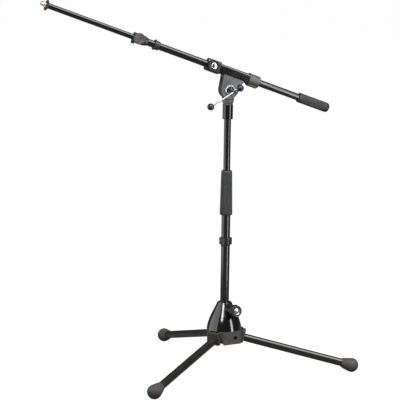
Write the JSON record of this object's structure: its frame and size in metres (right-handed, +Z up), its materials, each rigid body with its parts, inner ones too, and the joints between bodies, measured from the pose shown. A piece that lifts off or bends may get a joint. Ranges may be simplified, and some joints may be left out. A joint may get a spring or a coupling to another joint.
{
  "type": "microphone stand",
  "caption": "Low tripod microphone stand with a telescopic mast, a tilting swivel and a sliding telescopic boom with clamp knobs and a counterweight.",
  "frame": {"origin": "on the floor, on the mast axis, at the centre of the three feet", "axes": "+Z up along the mast; +X along leg 1; the boom hangs in the vertical plane turned 20 degrees from XZ about Z, its microphone end towards -X"},
  "size_m": [0.6371, 0.4828, 0.7528],
  "materials": {
    "black_enamel": "gloss black powder coat on steel tube",
    "bell_enamel": "deep gloss black paint on a zinc casting",
    "hub_casting": "satin grey-brown paint on a zinc casting",
    "swivel_casting": "textured mid-grey die casting",
    "steel": "zinc-plated steel",
    "chrome": "bright chrome plate",
    "brass": "bare brass",
    "knob_plastic": "black moulded plastic",
    "knob_brown": "dark brown-grey moulded plastic",
    "ball_plastic": "gloss black phenolic",
    "grip_plastic": "dark grey ribbed grip",
    "bush_plastic": "acetal bush",
    "fibre": "pressed fibre",
    "weight_finish": "matt black ribbed sleeve on a steel weight",
    "rubber": "dark grey rubber"
  },
  "bodies": {
    "base": {"leg_hub": "hub_casting", "leg_pins": "steel", "leg_washers": "bush_plastic", "bell_screws": "steel", "base_bell": "bell_enamel"},
    "base_clamp_shoe": {"base_clamp_shoe": "brass"},
    "base_knob": {"base_knob_screw": "steel", "base_knob_grip": "knob_plastic", "base_knob_cap": "chrome"},
    "mast_liner": {"mast_liner": "bush_plastic"},
    "mast_outer": {"mast_outer_tube": "black_enamel", "mast_plug": "bush_plastic", "stop_collar": "knob_plastic", "clutch_body": "brass"},
    "clutch_grip": {"clutch_grip": "grip_plastic"},
    "clutch_collet": {"clutch_collet": "bush_plastic"},
    "mast_inner": {"mast_inner_tube": "black_enamel", "mast_guide": "bush_plastic", "swivel_sleeve": "black_enamel", "swivel_stud": "steel", "swivel_neck": "swivel_casting"},
    "swivel_head": {"boom_saddle": "swivel_casting", "pivot_nut": "steel", "friction_discs": "fibre", "saddle_screws": "steel", "boom_clamp_body": "knob_plastic", "tail_collar": "knob_plastic"},
    "pivot_washer": {"pivot_washer": "chrome"},
    "pivot_screw": {"pivot_screw": "chrome"},
    "t_bar": {"t_bar": "chrome", "t_bar_balls": "ball_plastic"},
    "boom_clamp_shoe": {"boom_clamp_shoe": "brass"},
    "boom_knob": {"boom_knob_screw": "steel", "boom_knob_grip": "knob_plastic", "boom_knob_cap": "chrome"},
    "boom_liner": {"boom_liner": "bush_plastic"},
    "boom_outer": {"boom_outer_tube": "black_enamel", "boom_ring": "knob_plastic", "counterweight": "weight_finish", "counterweight_cap": "knob_plastic", "tele_clamp_body": "knob_plastic"},
    "tele_clamp_shoe": {"tele_clamp_shoe": "brass"},
    "tele_knob": {"tele_knob_screw": "steel", "tele_knob_grip": "knob_brown"},
    "tele_bush": {"tele_bush": "bush_plastic"},
    "boom_inner": {"boom_inner_tube": "black_enamel", "boom_guide": "bush_plastic", "mic_stud": "brass"},
    "lock_washer": {"lock_washer": "fibre"},
    "lock_disc": {"lock_disc": "knob_plastic"},
    "leg_1": {"leg_casting_1": "hub_casting", "leg_tube_1": "black_enamel", "leg_foot_1": "rubber"},
    "leg_2": {"leg_casting_2": "hub_casting", "leg_tube_2": "black_enamel", "leg_foot_2": "rubber"},
    "leg_3": {"leg_casting_3": "hub_casting", "leg_tube_3": "black_enamel", "leg_foot_3": "rubber"}
  },
  "joints": [
    {"name": "leg_fold_1", "type": "hinge", "parent": "base", "child": "leg_1", "pos_m": [0.0235, 0, 0.0726], "axis": [0, 1, 0], "range_deg": [0, 75]},
    {"name": "leg_fold_2", "type": "hinge", "parent": "base", "child": "leg_2", "pos_m": [-0.01175, 0.02035, 0.0726], "axis": [-0.866, -0.5, 0], "range_deg": [0, 75]},
    {"name": "leg_fold_3", "type": "hinge", "parent": "base", "child": "leg_3", "pos_m": [-0.01175, -0.02035, 0.0726], "axis": [0.866, -0.5, 0], "range_deg": [0, 75]},
    {"name": "base_clamp_release", "type": "slide", "parent": "base", "child": "base_clamp_shoe", "axis": [0.5, -0.866, 0], "range_m": [0, 0.00125]},
    {"name": "base_knob_turn", "type": "hinge", "parent": "base_clamp_shoe", "child": "base_knob", "pos_m": [0.01875, -0.03248, 0.1315], "axis": [0.5, -0.866, 0], "range_deg": [0, 362]},
    {"name": "mast_turn", "type": "hinge", "parent": "base", "child": "mast_liner", "pos_m": [0, 0, 0.0596], "axis": [0, 0, 1], "range_deg": [-180, 180]},
    {"name": "mast_drop", "type": "slide", "parent": "mast_liner", "child": "mast_outer", "axis": [0, 0, 1], "range_m": [-0.1145, 0]},
    {"name": "clutch_grip_twist", "type": "hinge", "parent": "mast_outer", "child": "clutch_grip", "pos_m": [0, 0, 0.412], "axis": [0, 0, 1], "range_deg": [0, 120]},
    {"name": "inner_mast_turn", "type": "hinge", "parent": "mast_outer", "child": "clutch_collet", "pos_m": [0, 0, 0.3975], "axis": [0, 0, 1], "range_deg": [-180, 180]},
    {"name": "mast_extend", "type": "slide", "parent": "clutch_collet", "child": "mast_inner", "axis": [0, 0, 1], "range_m": [-0.103, 0.11]},
    {"name": "boom_tilt", "type": "hinge", "parent": "mast_inner", "child": "swivel_head", "pos_m": [0, 0, 0.575], "axis": [-0.342, 0.9397, 0], "range_deg": [-104, 65]},
    {"name": "pivot_washer_release", "type": "slide", "parent": "swivel_head", "child": "pivot_washer", "axis": [0.342, -0.9397, 0], "range_m": [0, 0.00125]},
    {"name": "pivot_screw_turn", "type": "hinge", "parent": "pivot_washer", "child": "pivot_screw", "pos_m": [0.00376, -0.01034, 0.575], "axis": [0.342, -0.9397, 0], "range_deg": [0, 362]},
    {"name": "t_bar_slide", "type": "slide", "parent": "pivot_screw", "child": "t_bar", "axis": [0.8097, 0.2947, 0.5075], "range_m": [0, 0.0455]},
    {"name": "boom_clamp_release", "type": "slide", "parent": "swivel_head", "child": "boom_clamp_shoe", "axis": [0.342, -0.9397, 0], "range_m": [0, 0.001]},
    {"name": "boom_knob_turn", "type": "hinge", "parent": "boom_clamp_shoe", "child": "boom_knob", "pos_m": [-0.02933, -0.03196, 0.62449], "axis": [0.342, -0.9397, 0], "range_deg": [0, 362]},
    {"name": "boom_roll", "type": "hinge", "parent": "swivel_head", "child": "boom_liner", "pos_m": [0.0106, 0.00386, 0.60686], "axis": [0.8858, 0.3224, -0.3338], "range_deg": [-180, 180]},
    {"name": "boom_slide", "type": "slide", "parent": "boom_liner", "child": "boom_outer", "axis": [0.8858, 0.3224, -0.3338], "range_m": [-0.0915, 0.1044]},
    {"name": "tele_clamp_release", "type": "slide", "parent": "boom_outer", "child": "tele_clamp_shoe", "axis": [0.342, -0.9397, 0], "range_m": [0, 0.001]},
    {"name": "tele_knob_turn", "type": "hinge", "parent": "tele_clamp_shoe", "child": "tele_knob", "pos_m": [-0.17393, -0.08033, 0.67846], "axis": [0.342, -0.9397, 0], "range_deg": [0, 362]},
    {"name": "boom_tip_roll", "type": "hinge", "parent": "boom_outer", "child": "tele_bush", "pos_m": [-0.18649, -0.06788, 0.68113], "axis": [0.8858, 0.3224, -0.3338], "range_deg": [-180, 180]},
    {"name": "boom_extend", "type": "slide", "parent": "tele_bush", "child": "boom_inner", "axis": [-0.8858, -0.3224, 0.3338], "range_m": [-0.1785, 0.124]},
    {"name": "lock_washer_travel", "type": "slide", "parent": "boom_inner", "child": "lock_washer", "axis": [-0.8858, -0.3224, 0.3338], "range_m": [0, 0.00317]},
    {"name": "lock_disc_turn", "type": "hinge", "parent": "lock_washer", "child": "lock_disc", "pos_m": [-0.34903, -0.12704, 0.74239], "axis": [-0.8858, -0.3224, 0.3338], "range_deg": [0, 724]}
  ],
  "couplings": [
    {"joint": "base_knob_turn", "follows": "base_clamp_release", "rad_per_m": 5026.5},
    {"joint": "pivot_screw_turn", "follows": "pivot_washer_release", "rad_per_m": 5026.5},
    {"joint": "boom_knob_turn", "follows": "boom_clamp_release", "rad_per_m": 6283.2},
    {"joint": "tele_knob_turn", "follows": "tele_clamp_release", "rad_per_m": 6283.2},
    {"joint": "lock_disc_turn", "follows": "lock_washer_travel", "rad_per_m": 3957.9}
  ]
}
